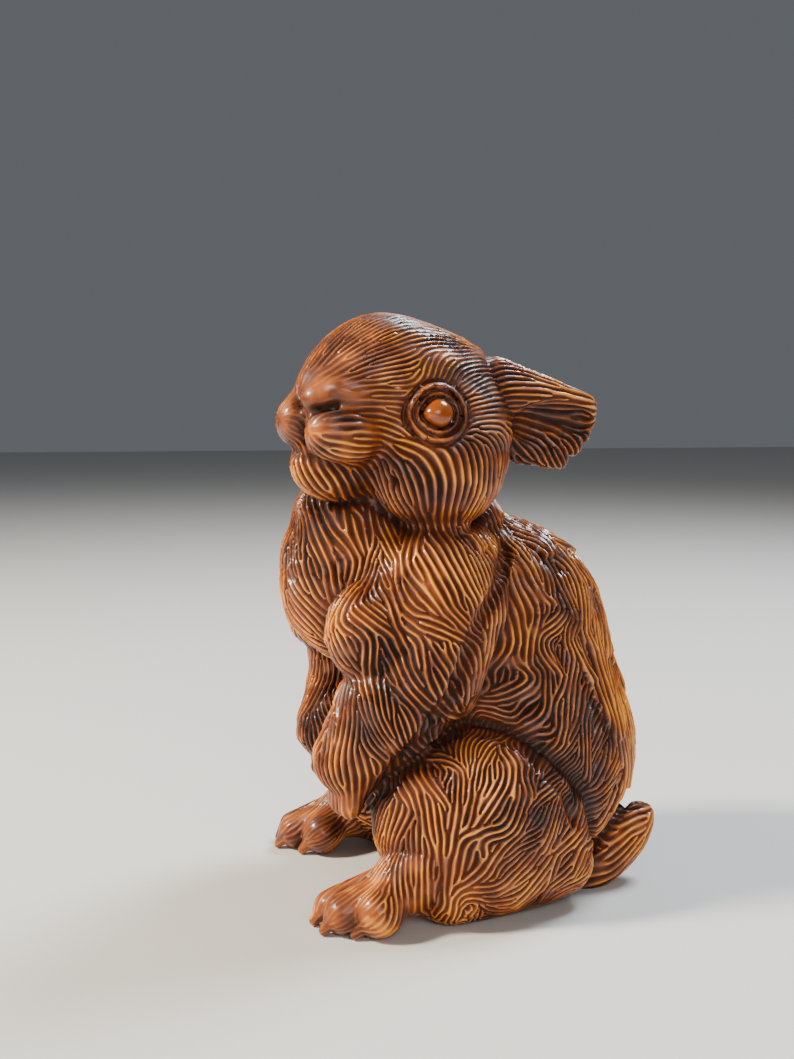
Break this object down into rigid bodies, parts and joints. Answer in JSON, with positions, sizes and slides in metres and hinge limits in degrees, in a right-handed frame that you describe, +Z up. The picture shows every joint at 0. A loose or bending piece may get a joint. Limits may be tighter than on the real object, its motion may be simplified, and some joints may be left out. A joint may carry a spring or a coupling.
{
  "type": "boxwood rabbit carving",
  "caption": "Seated rabbit carved from one block of boxwood, head turned to one side, forepaws raised in front of the belly, fur cut all over.",
  "frame": {"origin": "on the ground, under the middle of the carving's length and width", "axes": "+Z up through the head, -Y the way the chest and feet face, +X towards the rabbit's left side"},
  "size_m": [0.0546, 0.068, 0.0989],
  "materials": {
    "boxwood": "satin"
  },
  "bodies": {
    "root": {"rabbit_carving": "boxwood"}
  },
  "joints": []
}
